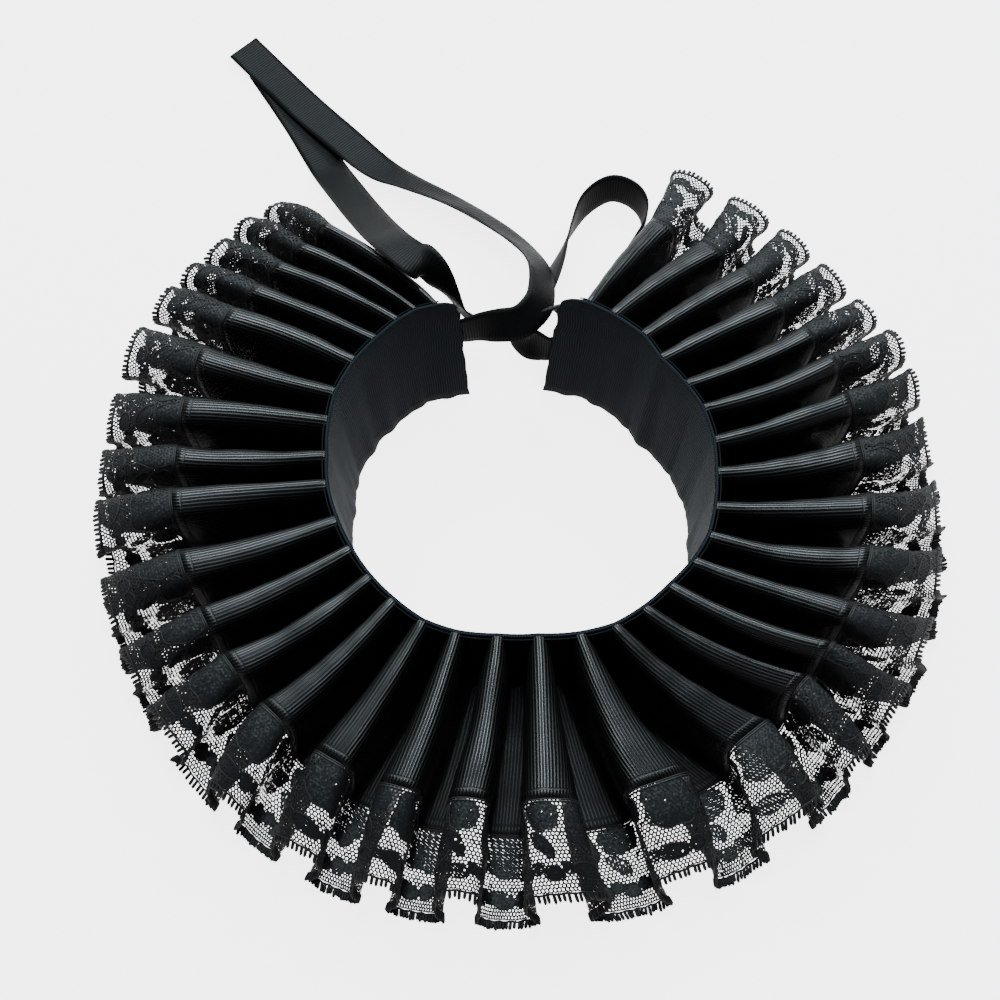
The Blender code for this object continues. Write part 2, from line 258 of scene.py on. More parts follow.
# %% The table
TABLE_HALF = 3.0
TABLE_TOP = -0.0002
table_mesh = bpy.data.meshes.new("table")
corners = [(x * TABLE_HALF, y * TABLE_HALF, TABLE_TOP) for x, y in ((-1, -1), (1, -1), (1, 1), (-1, 1))]
table_mesh.from_pydata(corners, [], [(0, 1, 2, 3)])
table = bpy.data.objects.new("table", table_mesh)
bpy.context.collection.objects.link(table)
paper = bpy.data.materials.new("white_paper")
paper.use_nodes = True
paper_shader = paper.node_tree.nodes["Principled BSDF"]
paper_shader.inputs["Base Color"].default_value = linear("#404040")
paper_shader.inputs["Roughness"].default_value = 0.9
paper_shader.inputs["Emission Color"].default_value = (1.0, 1.0, 1.0, 1.0)
paper_shader.inputs["Emission Strength"].default_value = 4.0
table_mesh.materials.append(paper)
print("the table is", 2 * TABLE_HALF, "m wide")

# %% [markdown]
# ## The folded surface
#
# All the cloth of the ruff, ribbon and lace alike, lies on one surface. A point on it has two
# coordinates: its place along the ruff, counted in folds, and its reach, the distance from the neck
# seam along the cloth. The creases are added to it afterwards, across the cloth.


# %% Reading the fold table
def fold_column(name):
    """One column of the fold table, with one more fold in step at each end."""
    values = [getattr(fold, name) for fold in FOLDS]
    step = END_TURN if name.endswith("deg") else 0.0
    return np.array([values[0] - step, *values, values[-1] + step], dtype=float)


def read_fold(name, place):
    """Value of a column at any place along the ruff, where 0 is the first crest."""
    values = fold_column(name)
    return np.interp(place, np.arange(-1, len(values) - 1), values)


def read_rim(crest_name, trough_name, place):
    """Value at the rim at any place, through a column for the crests and one for the troughs."""
    values = []
    for fold in FOLDS:
        values += [getattr(fold, crest_name), getattr(fold, trough_name)]
    step = END_TURN / 2 if crest_name.endswith("deg") else 0.0
    return np.interp(place, np.arange(-1, len(values)) / 2, [values[0] - step, *values])


def band_radius(degrees):
    """Radius of the band's top edge at an angle, from the folds and the band's two ends."""
    angles = [BAND_END_LEFT[0], *[fold.neck_deg for fold in FOLDS], BAND_END_RIGHT[0]]
    radii = [BAND_END_RADIUS, *[fold.neck_mm * MM for fold in FOLDS], BAND_END_RADIUS]
    return np.interp(degrees, angles, radii)


def band_lean(degrees):
    """How far the band's bottom edge stands inside its top edge at an angle."""
    return BAND_LEAN - BAND_LEAN_BACK * np.cos(np.radians(degrees))


def place_round(degrees, radius, height):
    """x = centre + radius sin(angle), y = centre - radius cos(angle), z = height."""
    turn = np.radians(degrees)
    x = NECK_CENTRE[0] + radius * np.sin(turn)
    y = NECK_CENTRE[1] - radius * np.cos(turn)
    return np.stack(np.broadcast_arrays(x, y, height), axis=-1)


# %% The folds without creases
def ruff_surface(place, reach):
    """Middle surface of the folded cloth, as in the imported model.

    Across a fold the cloth moves by s + round sin(4 pi s), which swells the loops. Its height
    follows (1 + flat) c - flat c^3 with c = cos(2 pi s).
    """
    out = reach / RIBBON_WIDTH
    beyond = np.maximum(reach - RIBBON_WIDTH, 0.0) / LACE_WIDTH
    droop = 0.4 * beyond + 0.6 * beyond ** 2

    def along(at_neck, at_edge, at_rim):
        return at_neck + (at_edge - at_neck) * np.minimum(out, 1.0) + (at_rim - at_edge) * droop

    round_rim = read_rim("crest_wide", "trough_wide", place) / 200 - 0.125
    roundness = along(ROUND_NECK, ROUND_EDGE, round_rim)
    crest = np.floor(place)
    s = place - crest
    moved = crest + s + roundness * np.sin(4 * math.pi * s)
    neck = read_fold("neck_deg", moved)
    degrees = along(neck, read_fold("edge_deg", moved), read_rim("rim_deg", "trough_deg", moved))
    c = np.cos(2 * math.pi * s)
    flat_rim = FLAT_RIM_TROUGH + (FLAT_RIM_CREST - FLAT_RIM_TROUGH) * (1 + c) / 2
    flat = along(FLAT, FLAT, flat_rim)
    pressed = along(PRESSED, PRESSED, PRESSED_RIM)
    rise = 0.5 + 0.5 * ((1 + flat) * c - flat * c ** 3)
    rise_at_neck = 0.5 + 0.5 * ((1 + FLAT) * c - FLAT * c ** 3)
    top = along(BAND_HEIGHT, read_fold("edge_height_mm", moved) * MM, read_fold("rim_height_mm", moved) * MM)
    height = np.maximum(-pressed + (top + pressed) * rise, WALL / 2)
    height_at_neck = np.maximum(-PRESSED + (BAND_HEIGHT + PRESSED) * rise_at_neck, WALL / 2)
    seam = band_radius(neck) - band_lean(neck) * (1 - height_at_neck / BAND_HEIGHT)
    run = np.sqrt(np.maximum(reach ** 2 - (height_at_neck - height) ** 2, 0.0))
    return place_round(degrees, seam + WALL / 2 + SEAM_GAP + FACET_ROOM + run, height)


# %% [markdown]
# The real folds aren't as even as a formula. The ribbon is a little slack between its stitches, so
# its walls swell and sink softly, and a few creases run out from the neck. Each is a sine along
# the reach, whose depth, length and start change from one fold to the next.

# %% The folds with their creases
CREASE_DEPTH = 0.55 * MM
chance = np.random.default_rng(7)
CREASE_TABLE = chance.uniform(-1.0, 1.0, (5, 2 * len(FOLDS) + 4))
SWAY = 1.3 * MM               # most that a fold wanders to one side, half way out
SWAY_RADIUS = 90 * MM         # how far from the neck's centre half way out is
LOWEST_CLOTH = 0.3 * MM


def uneven(row, place):
    """A smooth number from -1 to 1 that changes from one half fold to the next."""
    return np.interp(place * 2, np.arange(-2, CREASE_TABLE.shape[1] - 2), CREASE_TABLE[row])


def crease(place, reach):
    """Two sines along the reach: depth (a sin(2 pi reach / 27 mm + b) + c sin(2 pi reach / 11 mm + d)).

    They are a third as deep on a crest, which is drawn tight by its stitch.
    """
    long_wave = uneven(0, place) * np.sin(2 * math.pi * reach / (27 * MM) + 3 * uneven(1, place))
    short_wave = 0.35 * uneven(2, place) * np.sin(2 * math.pi * reach / (11 * MM) + 3 * uneven(3, place))
    near_neck = np.clip(reach / (8 * MM), 0.0, 1.0)
    from_crest = np.abs(place - np.round(place))
    return CREASE_DEPTH * near_neck * (long_wave + short_wave) * np.clip(0.35 + 3 * from_crest, 0.0, 1.0)


def sway(place, reach):
    """Turn of a fold about the neck's centre: sway / radius a sin(pi out) e^(-beyond / 8 mm).

    The folds beside the ties keep straight.
    """
    beyond = np.maximum(reach - RIBBON_WIDTH, 0.0)
    free = np.clip((place - 1.5) / 2, 0.0, 1.0) * np.clip((len(FOLDS) - 2.5 - place) / 2, 0.0, 1.0)
    wave = np.sin(math.pi * reach / RIBBON_WIDTH) * np.exp(-beyond / (8 * MM))
    return SWAY / SWAY_RADIUS * free * uneven(4, place) * wave


def outward(place, reach):
    """Unit normal of the folds, the cross product of the steps along the reach and the place."""
    step_out = ruff_surface(place, reach + 0.2 * MM) - ruff_surface(place, reach - 0.2 * MM)
    step_on = ruff_surface(place + 0.003, reach) - ruff_surface(place - 0.003, reach)
    normal = np.cross(step_out, step_on)
    return normal / np.maximum(np.linalg.norm(normal, axis=-1, keepdims=True), 1e-12)


def draped(place, reach, lift=0.0):
    """A point of the creased cloth, lifted off it along its normal, and never below the table.

    Where reach is below 0, the selvedge runs on level towards the neck's centre, half as far at the
    top of the band as at its bottom.
    """
    place, reach = np.broadcast_arrays(place, reach)
    on_cloth = np.maximum(reach, 0.0)
    normal = outward(place, on_cloth)
    point = ruff_surface(place, on_cloth) + normal * (crease(place, on_cloth) + lift)[..., None]
    from_centre = point[..., :2] - np.array(NECK_CENTRE)
    turned = sway(place, on_cloth)[..., None]
    point[..., :2] += turned * np.stack([-from_centre[..., 1], from_centre[..., 0]], axis=-1)
    from_centre /= np.linalg.norm(from_centre, axis=-1, keepdims=True)
    tucked = (reach - on_cloth) * (1 - 0.5 * point[..., 2] / BAND_HEIGHT)
    point[..., :2] += from_centre * tucked[..., None]
    point[..., 2] = np.maximum(point[..., 2], LOWEST_CLOTH)
    return point, normal


# %% [markdown]
# ## Flat cloth and folded cloth
#
# Ribs, threads and motifs are laid out on the flat cloth in millimetres, as it comes off the reel,
# and then carried to the folds. So the script needs the length along the cloth at every place.
# It is the true length from each crest, and what a trough has too much or too little of is eased in
# close to the trough, where it doesn't show.

# %% Length along the folded cloth
STEPS = 96                                    # steps in a fold
PLACES = np.linspace(-0.5, len(FOLDS) - 0.5, len(FOLDS) * STEPS + 1)


def flat_lengths(reach_rows):
    """Length along the cloth at each row of reach and each of PLACES.

    From a crest it is a + (mean - whole) (a / whole)^3, where a is the length so far, whole is the
    length to the trough in this row and mean is the same over all rows.
    """
    points = ruff_surface(PLACES[None, :], reach_rows[:, None])
    steps = np.linalg.norm(np.diff(points, axis=1), axis=2)
    run = np.concatenate([np.zeros((len(reach_rows), 1)), np.cumsum(steps, axis=1)], axis=1)
    column = np.arange(len(PLACES))
    fold = np.minimum(column // STEPS, len(FOLDS) - 1)
    crest = fold * STEPS + STEPS // 2
    side = np.where(column < crest, -1, 1)
    trough = crest + side * (STEPS // 2)
    so_far = np.abs(run - run[:, crest])
    whole = np.abs(run[:, trough] - run[:, crest])
    mean = whole.mean(axis=0)
    eased = so_far + (mean - whole) * (so_far / whole) ** 3
    halves = np.abs(run[:, ::STEPS // 2][:, 1:] - run[:, ::STEPS // 2][:, :-1]).mean(axis=0)
    crest_at = np.concatenate([[0.0], np.cumsum(halves)])[1::2]
    return crest_at[fold][None, :] + side * eased


SELVEDGE = 1.4 * MM           # tucked in against the band
ribbon_rows = np.concatenate([[-SELVEDGE, -SELVEDGE / 2], np.linspace(0.0, RIBBON_WIDTH, 21)])
ribbon_flat = flat_lengths(np.maximum(ribbon_rows, 0.0))
print("the ruff is gathered from", round(float(ribbon_flat.max()), 2), "m of ribbon")


# %% [markdown]
# ## From arrays to meshes
#
# One function makes a mesh from an array of points and an array of faces, and gives it the cloth's
# flat coordinates as a UV map in metres. The wall comes from Solidify, so that the cloth is closed.

# %% Making a piece
def make_piece(name, points, faces, material, node_name, flat=None, smooth=True):
    """An object at the origin whose mesh has these points and faces."""
    points = np.asarray(points, dtype=np.float32).reshape(-1, 3)
    faces = np.asarray(faces, dtype=np.int32)
    mesh = bpy.data.meshes.new(name)
    mesh.vertices.add(len(points))
    mesh.vertices.foreach_set("co", points.ravel())
    mesh.loops.add(faces.size)
    mesh.loops.foreach_set("vertex_index", faces.ravel())
    mesh.polygons.add(len(faces))
    mesh.polygons.foreach_set("loop_start", np.arange(0, faces.size, faces.shape[1], dtype=np.int32))
    mesh.polygons.foreach_set("loop_total", np.full(len(faces), faces.shape[1], dtype=np.int32))
    mesh.polygons.foreach_set("use_smooth", np.full(len(faces), smooth))
    mesh.update(calc_edges=True)
    if flat is not None:
        flat = np.asarray(flat, dtype=np.float32).reshape(-1, 2)
        layer = mesh.uv_layers.new(name="cloth")
        layer.data.foreach_set("uv", flat[faces.ravel()].ravel())
    mesh.materials.append(material)
    piece = bpy.data.objects.new(name, mesh)
    bpy.context.collection.objects.link(piece)
    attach(piece, "root")
    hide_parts(node_name)
    print(name, "has", len(points), "points and", len(faces), "faces")
    return piece


def grid_faces(rows, columns):
    """The quads of a grid of points, numbered row by row."""
    index = np.arange(rows * columns).reshape(rows, columns)
    corners = (index[:-1, :-1], index[1:, :-1], index[1:, 1:], index[:-1, 1:])
    return np.stack([corner.ravel() for corner in corners], axis=1)


def give_wall(piece, thickness):
    """A closed wall about the piece's surface."""
    wall = piece.modifiers.new("wall", "SOLIDIFY")
    wall.thickness = thickness
    wall.offset = 0.0
    wall.use_quality_normals = True


# %% [markdown]
# ## Grosgrain
#
# Grosgrain is a close ribbon, woven from rayon or polyester, with a thick weft that stands up in
# ribs from one selvedge to the other. Dyed black it takes nearly all the light. Only the tops of the
# ribs, where smooth filaments lie side by side, send back a soft grey shine. So the material has a
# rounded rib in its bump, rough grooves with painted shade (a darker colour than the rib tops), fine
# filaments across the ribs and slow changes in its shine. Its coordinates are the flat cloth's.

# %% Grosgrain ribbon
RIB_PITCH = 1.12 * MM         # one rib and one groove, as wide as they show in the collar


def grosgrain(name, pitch, rib_colour, groove_painted_shade, shine, gloss, hem=None):
    """Woven black ribbon with ribs across it, along the flat cloth's second coordinate.

    hem is where along the ribs a row of stitches presses them down, if there is one. The grooves,
    and the pressed line of the hem, take the darker groove colour, which is painted shade. Ribbon
    with a hem is the ruff's, and it is duller low down, where its troughs rest on the table.
    """
    material = bpy.data.materials.new(name)
    material.use_nodes = True
    tree = material.node_tree
    shader = tree.nodes["Principled BSDF"]
    flat = add_node(tree, "ShaderNodeUVMap", uv_map="cloth")
    axes = add_node(tree, "ShaderNodeSeparateXYZ", {"Vector": flat.outputs["UV"]})
    slow = add_node(tree, "ShaderNodeTexNoise", {"Vector": flat.outputs["UV"], "Scale": 60.0,
                                                 "Detail": 3.0, "Roughness": 0.6})
    shift = add_node(tree, "ShaderNodeMath", {0: slow.outputs["Fac"], 1: 0.5 * pitch}, operation="MULTIPLY")
    along = add_node(tree, "ShaderNodeMath", {0: axes.outputs["X"], 1: shift.outputs[0]}, operation="ADD")
    turn = add_node(tree, "ShaderNodeMath", {0: along.outputs[0], 1: math.pi / pitch}, operation="MULTIPLY")
    wave = add_node(tree, "ShaderNodeMath", {0: turn.outputs[0]}, operation="SINE")
    hump = add_node(tree, "ShaderNodeMath", {0: wave.outputs[0]}, operation="ABSOLUTE")
    grain = add_node(tree, "ShaderNodeTexNoise", {"Vector": flat.outputs["UV"], "Scale": 1400.0,
                                                  "Detail": 2.0})
    height = add_node(tree, "ShaderNodeMath", {0: grain.outputs["Fac"], 1: 0.10, 2: hump.outputs[0]},
                      operation="MULTIPLY_ADD")
    bump = add_node(tree, "ShaderNodeBump", {"Height": height.outputs[0], "Strength": 1.0,
                                             "Distance": 0.11 * pitch})
    if hem is not None:
        off = add_node(tree, "ShaderNodeMath", {0: axes.outputs["Y"], 1: hem}, operation="SUBTRACT")
        away = add_node(tree, "ShaderNodeMath", {0: off.outputs[0]}, operation="ABSOLUTE")
        free = add_node(tree, "ShaderNodeMapRange", {"Value": away.outputs[0], "From Min": 0.15 * MM,
                                                     "From Max": 0.45 * MM, "To Min": 0.2},
                        interpolation_type="SMOOTHSTEP")
        pressed = add_node(tree, "ShaderNodeMath", {0: height.outputs[0], 1: free.outputs["Result"]},
                           operation="MULTIPLY")
        tree.links.new(pressed.outputs[0], bump.inputs["Height"])
        # At the stitch line the rib top is pressed away too, so the colour there takes the grooves' painted
        # shade.
        hump = add_node(tree, "ShaderNodeMath", {0: hump.outputs[0], 1: free.outputs["Result"]},
                        operation="MULTIPLY")
    top = add_node(tree, "ShaderNodeMapRange", {"Value": hump.outputs[0], "From Min": 0.70, "From Max": 0.96},
                   interpolation_type="SMOOTHSTEP")
    # Rib tops take the rib colour and the grooves the darker groove colour, which is painted shade.
    colour = add_node(tree, "ShaderNodeMix", {"Factor": top.outputs["Result"], "A": linear(groove_painted_shade),
                                              "B": linear(rib_colour)}, data_type="RGBA")
    rough = add_node(tree, "ShaderNodeMapRange", {"Value": top.outputs["Result"], "To Min": shine + 0.22,
                                                  "To Max": shine})
    worn = add_node(tree, "ShaderNodeMath", {0: slow.outputs["Fac"], 1: 0.10, 2: rough.outputs["Result"]},
                    operation="MULTIPLY_ADD", use_clamp=True)
    if hem is not None:
        place = add_node(tree, "ShaderNodeTexCoord")
        level = add_node(tree, "ShaderNodeSeparateXYZ", {"Vector": place.outputs["Object"]})
        dull = add_node(tree, "ShaderNodeMapRange", {"Value": level.outputs["Z"], "From Min": 5 * MM,
                                                     "From Max": 17 * MM, "To Min": 0.32, "To Max": 0.0},
                        interpolation_type="SMOOTHSTEP")
        worn = add_node(tree, "ShaderNodeMath", {0: worn.outputs[0], 1: dull.outputs["Result"]},
                        operation="ADD", use_clamp=True)
    tree.links.new(colour.outputs["Result"], shader.inputs["Base Color"])
    tree.links.new(worn.outputs[0], shader.inputs["Roughness"])
    tree.links.new(bump.outputs["Normal"], shader.inputs["Normal"])
    shader.inputs["IOR"].default_value = 1.5
    shader.inputs["Specular IOR Level"].default_value = gloss
    return material


HEM_STITCHES = RIBBON_WIDTH - 3.3 * MM
# Each ribbon's second colour is the painted shade of its grooves.
ruff_grosgrain = grosgrain("ruff_grosgrain", RIB_PITCH, "#010101", "#000000", 0.20, 0.068, HEM_STITCHES)
band_grosgrain = grosgrain("band_grosgrain", 0.8 * RIB_PITCH, "#02050a", "#010203", 0.62, 0.035)
tie_grosgrain = grosgrain("tie_grosgrain", 0.85 * RIB_PITCH, "#010101", "#000000", 0.42, 0.03)
print("rib pitch", RIB_PITCH / MM, "mm")

# %% [markdown]
# ## The ruff
#
# The ruff's ribbon is one strip in 32 folds. It is the folded surface itself, from the neck seam to
# the ribbon's outer edge, with enough columns in each fold for its round loops.

# %% The folded ribbon
RIBBON_WALL = 0.5 * MM
ruff_columns = slice(0, None, 2)
ruff_points, _ = draped(PLACES[None, ruff_columns], ribbon_rows[:, None])
ruff_flat = np.stack([ribbon_flat[:, ruff_columns],
                      np.broadcast_to(ribbon_rows[:, None], ribbon_flat[:, ruff_columns].shape)], axis=-1)
ruff = make_piece("ruff_cloth", ruff_points, grid_faces(*ruff_points.shape[:2]), ruff_grosgrain,
                  "ruff_ribbon", ruff_flat)
give_wall(ruff, RIBBON_WALL)

# %% [markdown]
# ## The neck band
#
# The band is a plain strip of the same ribbon, set on edge. Its upper edge is stitched to the
# crests, and its upper corners are turned in round. Its lower edge is loose, so it wanders a little.

# %% The band
BAND_COLUMNS = 480
BAND_ROWS = 15
BAND_WALL = 0.7 * MM
CORNER = 5.0 * MM
CORNER_ROWS = 10
plain_rows = np.linspace(0.0, 1.0, BAND_ROWS)[:-2]
band_up = np.concatenate([plain_rows, np.linspace(1 - CORNER / BAND_HEIGHT, 1.0, CORNER_ROWS)])[:, None]
band_on = np.linspace(0.0, 1.0, BAND_COLUMNS + 1)[None, :]
# The corner is a quarter circle: it stands in by r - sqrt(r^2 - rise^2), here as an angle.
corner_rise = np.clip((band_up * BAND_HEIGHT - BAND_HEIGHT + CORNER) / CORNER, 0.0, 1.0)
corner_in = np.degrees(CORNER * (1 - np.sqrt(1 - corner_rise ** 2)) / BAND_END_RADIUS)
ragged = 0.35 * np.sin(band_up * 61) + 0.25 * np.sin(band_up * 23 + 1)      # degrees
band_left = BAND_END_LEFT[1] + (BAND_END_LEFT[0] - BAND_END_LEFT[1]) * band_up + corner_in - ragged
band_right = BAND_END_RIGHT[1] + (BAND_END_RIGHT[0] - BAND_END_RIGHT[1]) * band_up - corner_in + ragged
band_degrees = band_left + (band_right - band_left) * band_on


def band_wander(degrees):
    """How far the loose lower edge wanders, three sines round the neck."""
    turn = np.radians(degrees)
    return (0.5 * np.sin(9 * turn + 1.0) + 0.35 * np.sin(23 * turn) + 0.2 * np.sin(51 * turn + 2.0)) * MM


def band_face(degrees, up):
    """radius = top radius - lean (1 - up) - soft swell + wander at the bottom, height = band height up."""
    swell = 0.5 * MM * np.sin(math.pi * up) * np.sin(np.radians(degrees) * 13)
    radius = band_radius(degrees) - band_lean(degrees) * (1 - up) - np.abs(swell)
    radius = radius - np.abs(band_wander(degrees)) * (1 - up) ** 2
    height = BAND_HEIGHT * up + (1 - up) * (0.3 * MM + 0.5 * np.abs(band_wander(degrees + 7)))
    return place_round(degrees, radius, height)


band_points = band_face(band_degrees, band_up)
# Its length is that of the row just under the rounded corners.
band_steps = np.linalg.norm(np.diff(band_points[-CORNER_ROWS], axis=0), axis=1)
band_run = np.concatenate([[0.0], np.cumsum(band_steps)])
band_flat = np.stack(np.broadcast_arrays(band_run[None, :], band_up * BAND_HEIGHT), axis=-1)
band = make_piece("band_cloth", band_points, grid_faces(*band_points.shape[:2]), band_grosgrain,
                  "neck_band", band_flat)
give_wall(band, BAND_WALL)

# %% [markdown]
# ## Cords
#
# The stitched edge of the band and the outlines of the lace are cords. A cord is a tube: at each
# point of its path four or more points stand round it, in the plane of the normal and of the side,
# which is the cross product of the normal and the path's direction.


# %% Tubes along many paths at once
def tubes(centres, normals, radius, sides, closed):
    """Points and quads of one tube for each path.

    centres and normals are paths by points by 3, and radius is a number or paths by points. A point
    is centre + radius (cos(angle) side + sin(angle) normal). Closed paths join their ends.
    """
    paths, count = centres.shape[:2]
    if closed:
        tangent = np.roll(centres, -1, axis=1) - np.roll(centres, 1, axis=1)
    else:
        tangent = np.gradient(centres, axis=1)
    side = np.cross(normals, tangent)
    side /= np.maximum(np.linalg.norm(side, axis=-1, keepdims=True), 1e-12)
    radius = np.broadcast_to(radius, (paths, count))[..., None, None]
    angle = np.arange(sides) * 2 * math.pi / sides + math.pi / 4
    ring = np.cos(angle)[:, None] * side[:, :, None, :] + np.sin(angle)[:, None] * normals[:, :, None, :]
    points = centres[:, :, None, :] + radius * ring
    index = np.arange(paths * count * sides).reshape(paths, count, sides)
    here, there = (index, np.roll(index, -1, axis=1)) if closed else (index[:, :-1], index[:, 1:])
    faces = np.stack([here, np.roll(here, -1, axis=2), np.roll(there, -1, axis=2), there], axis=-1)
    return points.reshape(-1, 3), faces.reshape(-1, 4)


def join_parts(parts):
    """Points and faces of several parts as one."""
    points = np.concatenate([part[0] for part in parts])
    starts = np.cumsum([0] + [len(part[0]) for part in parts[:-1]])
    faces = np.concatenate([part[1] + start for part, start in zip(parts, starts)])
    return points, faces


# %% [markdown]
# The ribbon's neck edge and the band's top edge are stitched together, and show as two fine rolled
# edges side by side. Each is a cord whose radius swells at every stitch.

# %% The stitched neck edge
EDGE_CORD = 0.22 * MM
STITCH = 1.9 * MM


def thread_material(name, colour, roughness, pitch, gloss=0.06):
    """Twisted cotton or nylon thread: matt, with a fine grain of fibres and uneven dye."""
    material = bpy.data.materials.new(name)
    material.use_nodes = True
    tree = material.node_tree
    shader = tree.nodes["Principled BSDF"]
    where = add_node(tree, "ShaderNodeTexCoord")
    fibres = add_node(tree, "ShaderNodeTexNoise", {"Vector": where.outputs["Object"], "Scale": 1 / pitch,
                                                   "Detail": 2.0, "Roughness": 0.6})
    dye = add_node(tree, "ShaderNodeTexNoise", {"Vector": where.outputs["Object"], "Scale": 45.0})
    dark, light = linear(colour), [min(1.0, value * 2.2) for value in linear(colour)[:3]] + [1.0]
    tone = add_node(tree, "ShaderNodeMix", {"Factor": dye.outputs["Fac"], "A": dark, "B": light},
                    data_type="RGBA")
    bump = add_node(tree, "ShaderNodeBump", {"Height": fibres.outputs["Fac"], "Strength": 0.6,
                                             "Distance": 0.2 * pitch})
    tree.links.new(tone.outputs["Result"], shader.inputs["Base Color"])
    tree.links.new(bump.outputs["Normal"], shader.inputs["Normal"])
    shader.inputs["Roughness"].default_value = roughness
    shader.inputs["Specular IOR Level"].default_value = gloss
    return material


sewing_thread = thread_material("sewing_thread", "#000101", 0.8, 0.4 * MM, 0.025)
edge_count = int(band_run[-1] / (STITCH / 4))
edge_degrees = np.linspace(FOLDS[0].neck_deg - 1.5, FOLDS[-1].neck_deg + 3.0, edge_count)[None, :]
edge_run = np.interp(edge_degrees[0], band_degrees[-1], band_run)
edge_parts = []
for inset, drop, start in ((-0.55 * MM, 0.1 * MM, 0.0), (1.15 * MM, 0.5 * MM, 0.7)):
    middle = place_round(edge_degrees, band_radius(edge_degrees) + inset, BAND_HEIGHT - drop)
    up = np.broadcast_to([0.0, 0.0, 1.0], middle.shape)
    swell = EDGE_CORD * (1.0 + 0.3 * np.abs(np.sin(math.pi * edge_run / STITCH + start)))[None, :]
    edge_parts.append(tubes(middle, up, swell, 6, False))
edge_points, edge_faces = join_parts(edge_parts)
make_piece("neck_edge", edge_points, edge_faces, sewing_thread, "neck_band")

# %% [markdown]
# ## The ties
#
# A tie is narrow ribbon on a smooth route through a few points. The route is a Catmull-Rom curve,
# read at even steps. Across it the ribbon is a shallow arc, as a narrow ribbon cups when it bends.

# %% Three ribbons on their routes
TIE_STEP = 1.0 * MM
TIE_ACROSS = 7
TIE_CUP = 0.35 * MM
TIE_CUP_EVERY = 31 * MM
TIE_WALL = 0.5 * MM


def smooth_route(points, step):
    """Evenly spaced rows on the Catmull-Rom curve through a tie's points."""
    rows = np.array(points, dtype=float)
    ends = np.vstack([2 * rows[0] - rows[1], rows, 2 * rows[-1] - rows[-2]])
    t = np.linspace(0.0, 1.0, 40, endpoint=False)[:, None]
    pieces = []
    for a, b, c, d in zip(ends[:-3], ends[1:-2], ends[2:-1], ends[3:]):
        pieces.append(0.5 * (2 * b + (c - a) * t + (2 * a - 5 * b + 4 * c - d) * t ** 2
                             + (3 * b - a - 3 * c + d) * t ** 3))
    fine = np.vstack([*pieces, rows[-1:]])
    length = np.concatenate([[0.0], np.cumsum(np.linalg.norm(np.diff(fine[:, :3], axis=0), axis=1))])
    wanted = np.linspace(0.0, length[-1], max(2, round(length[-1] * MM / step)) + 1)
    return np.stack([np.interp(wanted, length, fine[:, k]) for k in range(fine.shape[1])], axis=1)


def tie_surface(points):
    """Grid of points of a cupped ribbon, and its flat coordinates.

    A point is middle + across (side offset) + normal cup (1 - 4 offset^2) sin(2 pi run / 31 mm), with
    offset from -1/2 to 1/2.
    """
    rows = smooth_route(points, TIE_STEP)
    middle = rows[:, :3] * MM + np.array([*NECK_CENTRE, 0.0])
    run = np.concatenate([[0.0], np.cumsum(np.linalg.norm(np.diff(middle, axis=0), axis=1))])
    tangent = np.gradient(middle, axis=0)
    tangent /= np.linalg.norm(tangent, axis=1, keepdims=True)
    heading, rise = np.radians(rows[:, 3]), np.radians(rows[:, 4])
    across = np.stack([np.cos(rise) * np.cos(heading), np.cos(rise) * np.sin(heading), np.sin(rise)], axis=1)
    across -= tangent * np.sum(across * tangent, axis=1, keepdims=True)
    across /= np.linalg.norm(across, axis=1, keepdims=True)
    normal = np.cross(tangent, across)
    offset = np.linspace(-0.5, 0.5, TIE_ACROSS)[:, None, None]
    cup = TIE_CUP * (1 - 4 * offset ** 2) * np.sin(2 * math.pi * run / TIE_CUP_EVERY)[None, :, None]
    grid = middle[None] + across[None] * TIE_WIDTH * offset + normal[None] * cup
    grid[..., 2] = np.maximum(grid[..., 2], LOWEST_CLOTH)
    flat = np.stack(np.broadcast_arrays(run[None, :], (offset[:, :, 0] + 0.5) * TIE_WIDTH), axis=-1)
    return grid, flat, float(run[-1])


TIE_ROUTES = (
    ("tie_left", (LEFT_ROOT, *TIE_LEFT)),
    ("tie_right", (RIGHT_ROOT, *TIE_RIGHT)),
    ("tie_tail", TIE_TAIL),
)
for tie_name, route in TIE_ROUTES:
    tie_grid, tie_flat, tie_length = tie_surface(route)
    tie = make_piece(tie_name + "_cloth", tie_grid, grid_faces(*tie_grid.shape[:2]), tie_grosgrain,
                     tie_name, tie_flat)
    give_wall(tie, TIE_WALL)
    print(tie_name, "is", round(tie_length, 3), "m long")

# %% [markdown]
# ## The lace
#
# The edging is machine lace. Its ground is a net of six-sided cells. On it lie motifs of dense
# clothwork, outlined with a thicker cord, and its rim is a row of small stout loops. All of it is
# laid out flat, in one repeat that runs round the ruff, and carried to the folds thread by thread.
# Real threads were chosen over a pattern with see-through parts, because the table shows through
# every cell and a map would blur them.

# %% From flat lace to folded lace
lace_rows = RIBBON_WIDTH + np.linspace(0.0, LACE_WIDTH, 17)
lace_flat = flat_lengths(lace_rows)
LACE_LENGTH = float(lace_flat.max())
READING = 0.25 * MM
read_at = np.arange(0.0, LACE_LENGTH + READING, READING)
place_table = np.stack([np.interp(read_at, row, PLACES) for row in lace_flat])


def lace_place(along, down):
    """Place of a point of the flat lace, read between the rows and columns of the table."""
    row = np.clip(down / LACE_WIDTH * (len(lace_rows) - 1), 0, len(lace_rows) - 1.001)
    column = np.clip(along / READING, 0, len(read_at) - 1.001)
    r, c = row.astype(int), column.astype(int)
    y, x = row - r, column - c
    upper = place_table[r, c] * (1 - x) + place_table[r, c + 1] * x
    lower = place_table[r + 1, c] * (1 - x) + place_table[r + 1, c + 1] * x
    return upper * (1 - y) + lower * y


def lay_lace(flat_points, lift=0.0):
    """Points of the flat lace, in metres, on the folds, with their normals."""
    place = lace_place(flat_points[..., 0], flat_points[..., 1])
    return draped(place, RIBBON_WIDTH + flat_points[..., 1], lift)


print("the edging is gathered from", round(LACE_LENGTH, 2), "m of lace")

